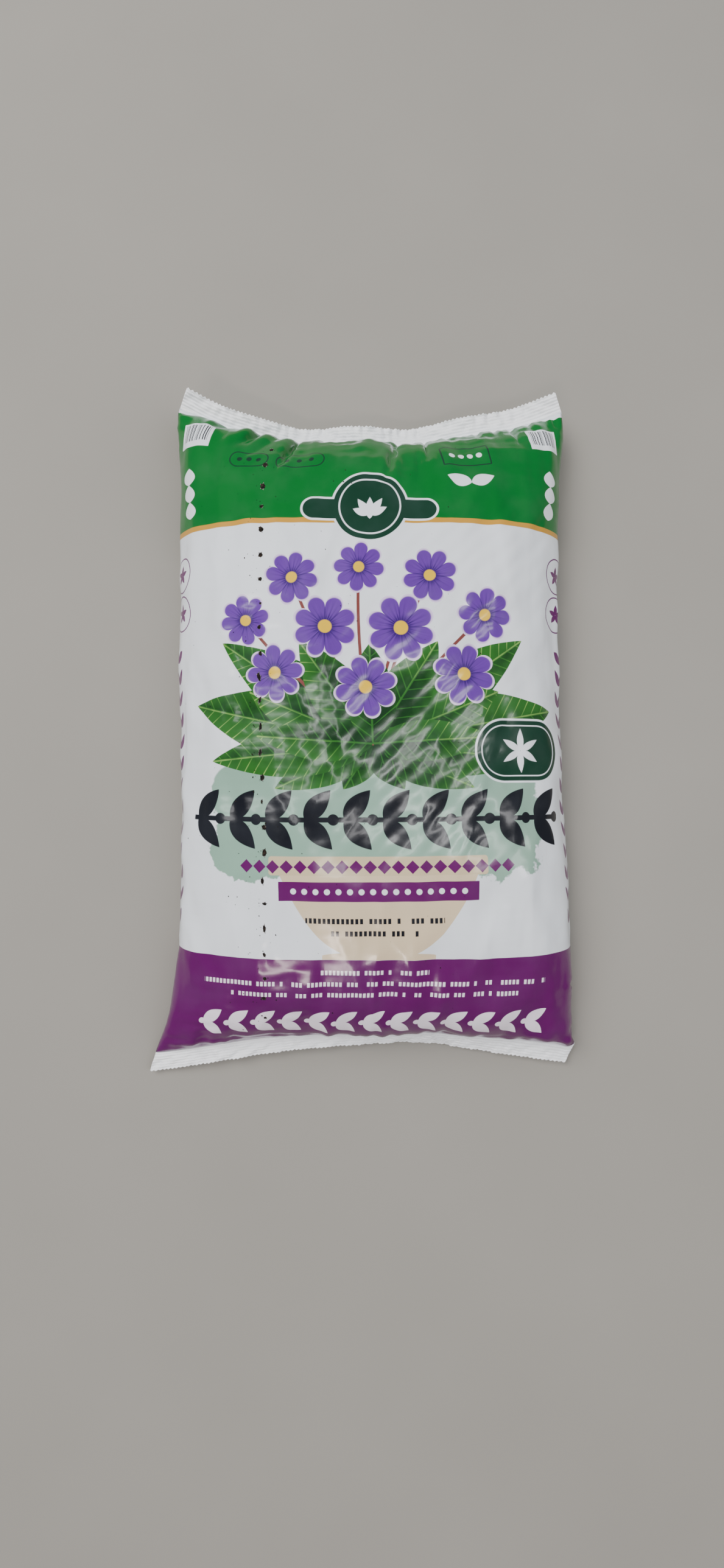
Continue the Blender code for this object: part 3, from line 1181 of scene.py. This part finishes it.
def vent_places():
    """Where the vent pricks are on the flat film: one row, each a little off its line."""
    random = np.random.default_rng(21)
    places = []
    for k in range(VENT_COUNT):
        v = (k - (VENT_COUNT - 1) / 2) * VENT_PITCH
        places.append((VENT_U + random.normal(0, 0.35 * MM), v + random.normal(0, 0.5 * MM)))
    return places


def spots(name, surface, places, sizes, sink):
    """A cloud of points on the film that carries the directions and sizes of what stands there."""
    points, normals = [], []
    for u, v in places:
        point, normal = surface.at(u, v)
        points.append(point - sink * normal)
        normals.append(normal)
    mesh = bpy.data.meshes.new(name)
    mesh.from_pydata([tuple(p) for p in points], [], [])
    for label, values in (("outward", normals), ("size", sizes)):
        attribute = mesh.attributes.new(label, "FLOAT_VECTOR", "POINT")
        attribute.data.foreach_set("vector", np.array(values, np.float32).ravel())
    return new_object(name, mesh)


def standing_shapes(name, shape, material):
    """Geometry Nodes: one shape on each point, along its outward direction, roughened."""
    group = bpy.data.node_groups.new(name, "GeometryNodeTree")
    add_sockets(group, "INPUT", "Geometry", "Spots")
    add_sockets(group, "INPUT", "Float", "Roughening", "Grain size")
    add_sockets(group, "OUTPUT", "Geometry", "Shapes")
    tree = Tree(group)
    spots_in, roughening, grain = group.nodes.new("NodeGroupInput").outputs[:3]
    leave = group.nodes.new("NodeGroupOutput")

    def made(kind, *values, output=0, **settings):
        return tree.node(kind, *values, **settings).outputs[output]

    outward = made("GeometryNodeInputNamedAttribute", "outward", data_type="FLOAT_VECTOR")
    size = made("GeometryNodeInputNamedAttribute", "size", data_type="FLOAT_VECTOR")
    stand = made("FunctionNodeAlignRotationToVector", None, None, outward, axis="Z")
    spin = tree.node("FunctionNodeRandomValue", None, None, -SPIN, SPIN, data_type="FLOAT")
    spin.inputs["Seed"].default_value = 5
    axis = made("FunctionNodeAxisAngleToRotation", (0, 0, 1), spin.outputs[1])
    turn = made("FunctionNodeRotateRotation", stand, axis, rotation_space="LOCAL")
    placed = made("GeometryNodeInstanceOnPoints", spots_in, None, shape(tree), None, None, turn, size)
    real = made("GeometryNodeRealizeInstances", placed)
    scale = tree.math("DIVIDE", 1.0, grain)
    noise = tree.node("ShaderNodeTexNoise", made("GeometryNodeInputPosition"), None, scale, 1.0)
    centred = made("ShaderNodeVectorMath", noise.outputs["Color"], (0.5, 0.5, 0.5), operation="SUBTRACT")
    scaled = made("ShaderNodeVectorMath", centred, None, None, roughening, operation="SCALE")
    moved = made("GeometryNodeSetPosition", real, None, None, scaled)
    tree.put(leave.inputs[0], made("GeometryNodeSetMaterial", moved, None, material))
    return group


def grown(obj, shape, material, roughening, grain):
    """Turns a cloud of points into the plain mesh of the shapes that stand on them."""
    group = standing_shapes(obj.name + " shapes", shape, material)
    inputs = {"Roughening": roughening, "Grain size": grain}
    modifier = obj.modifiers.new(group.name, "NODES")
    modifier.node_group = group
    for item in group.interface.items_tree:
        if item.in_out == "INPUT" and item.name in inputs:
            modifier[item.identifier] = inputs[item.name]
    graph = bpy.context.evaluated_depsgraph_get()
    mesh = bpy.data.meshes.new_from_object(obj.evaluated_get(graph))
    obj.modifiers.remove(modifier)
    obj.data = mesh
    return obj


def clod_shape(tree):
    return tree.node("GeometryNodeMeshIcoSphere", 0.5, 2).outputs[0]


def torn_shape(tree):
    """A ragged star of raised film round a prick."""
    star = tree.node("GeometryNodeCurveStar")
    for name, value in (("Points", 5), ("Inner Radius", 0.34), ("Outer Radius", 0.62)):
        star.inputs[name].default_value = value
    rim = tree.node("GeometryNodeCurvePrimitiveCircle", mode="RADIUS")
    rim.inputs["Resolution"].default_value = 6
    rim.inputs["Radius"].default_value = 0.09
    return tree.node("GeometryNodeCurveToMesh", star.outputs[0], rim.outputs[0]).outputs[0]


def make_vents(surface, soil, film):
    """The row of torn pricks, each with compost showing in it."""
    random = np.random.default_rng(22)
    places = vent_places()
    long = np.clip(random.normal(2.9, 0.8, len(places)), 1.4, 4.4) * MM
    wide = np.clip(random.normal(1.7, 0.35, len(places)), 1.0, 2.4) * MM
    plug_sizes = np.stack([wide * 1.1, long, 0.75 * MM + 0 * long], -1)
    tear_sizes = np.stack([wide * 0.95, long * 0.95, 1.1 * MM + 0 * long], -1)
    plugs = spots("vent_compost", surface, places, plug_sizes, 0.12 * MM)
    tears = spots("vent_tears", surface, places, tear_sizes, 0.02 * MM)
    return [
        grown(plugs, clod_shape, soil, 0.9 * MM, 0.9 * MM),
        grown(tears, torn_shape, film, 0.7 * MM, 1.3 * MM),
    ]


def make_crumbs(surface, soil):
    """Specks of compost that have sifted out and lie by the vents."""
    random = np.random.default_rng(23)
    places, sizes = [], []
    for u, v in vent_places():
        for _ in range(random.integers(3, 10)):
            far = random.exponential(7 * MM)
            angle = random.uniform(0, 2 * math.pi)
            crumb_v = np.clip(v + far * math.sin(angle), -0.165, 0.165)
            places.append((u - 3 * MM + far * math.cos(angle), crumb_v))
    for _ in range(110):
        places.append((random.uniform(-0.100, 0.060), random.uniform(-0.155, 0.155)))
    for _ in places:
        size = np.clip(random.lognormal(-1.25, 0.45), 0.12, 0.8) * MM
        sizes.append((size, size * random.uniform(0.8, 1.5), size * 0.6))
    crumbs = spots("compost_crumbs", surface, places, sizes, -0.05 * MM)
    return grown(crumbs, clod_shape, soil, 0.25 * MM, 0.3 * MM)


# ---------------------------------------------------------------- the studio

LAMP_AIM = Vector((0, 0, 0.02))
DAYLIGHT = (1.0, 0.99, 0.97)


def make_floor():
    far = 4.0
    corners = np.array([(-far, -far, 0), (far, -far, 0), (far, far, 0), (-far, far, 0)])
    floor = new_piece("floor", corners, [(0, 1, 2, 3)])
    dark, light = srgb(141, 138, 132), srgb(158, 154, 148)
    cloudy = mixed_material("pale studio floor", 9.0, 3, lambda noise: noise * 0.5, dark, light, 0.75)
    floor.data.materials.append(cloudy)


def make_lamp(name, place, size, power, colour=(1, 1, 1), mirrored=True):
    """An area lamp; one that isn't mirrored lights the film without showing in its gloss."""
    lamp = bpy.data.lights.new(name, "AREA")
    lamp.shape = "RECTANGLE"
    lamp.size, lamp.size_y = size
    lamp.energy = power
    lamp.color = colour
    obj = new_object(name, lamp)
    obj.location = place
    obj.rotation_euler = (LAMP_AIM - Vector(place)).to_track_quat("-Z", "Y").to_euler()
    obj.visible_glossy = mirrored


def make_studio():
    make_floor()
    world = bpy.data.worlds.new("studio")
    world.use_nodes = True
    background = world.node_tree.nodes["Background"].inputs
    background[0].default_value = (0.80, 0.84, 0.90, 1)
    background[1].default_value = 0.22
    bpy.context.scene.world = world
    make_lamp("window", (-0.85, 0.75, 1.35), (1.1, 1.1), 36, DAYLIGHT, mirrored=False)
    make_lamp("wall wash", (1.3, -0.2, 1.1), (1.2, 1.2), 9, DAYLIGHT, mirrored=False)
    make_lamp("ceiling strip", (0.38, 0.10, 1.9), (0.12, 1.5), 6)
    make_lamp("foot strip", (-0.42, -1.15, 1.35), (0.6, 0.14), 6, (1.0, 0.88, 0.82))
    make_lamp("second strip", (0.85, -0.1, 1.7), (0.12, 1.7), 6)
    make_lamp("third strip", (-0.80, 0.2, 1.8), (0.12, 1.3), 4)


def make_camera():
    """A phone held over the bag, a little nearer its foot, with a wide lens."""
    lens = bpy.data.cameras.new("phone")
    lens.sensor_width = 36
    lens.lens = 16.63
    lens.clip_start = 0.01
    camera = new_object("phone", lens)
    camera.location = (1.7 * MM, -48 * MM, 390 * MM)
    camera.rotation_euler = (math.radians(3.0), 0, math.radians(-0.6))
    bpy.context.scene.camera = camera


# ---------------------------------------------------------------- putting it together


def stand_in_cad_box(film):
    """Moves the film so that it lies over the middle of the CAD bag, on the floor."""
    low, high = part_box("compost_bag")
    for axis in (0, 1):
        middle = (film[..., axis].min() + film[..., axis].max()) / 2
        film[..., axis] += (low[axis] + high[axis]) / 2 - middle
    film[..., 2] -= film[..., 2].min()
    return film


def main():
    make_camera()
    make_studio()
    film = crumpled(refine(stand_in_cad_box(filled_film())))
    *printed, crimped = film_materials()
    soil = soil_material()
    bag, lap = make_bag(film), make_lap(film)
    seals = [make_seal("bottom_seal", film, True), make_seal("top_seal", film, False)]
    pieces = [bag, *seals, lap]
    for material in printed:
        bag.data.materials.append(material)
    for piece, material in ((seals[0], crimped), (seals[1], crimped), (lap, printed[-1])):
        piece.data.materials.append(material)
    surface = Surface(film)
    loose = [*make_vents(surface, soil, torn_material()), make_crumbs(surface, soil)]
    for piece in [*pieces, *loose]:
        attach(piece, "root")
    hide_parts("compost_bag")


main()
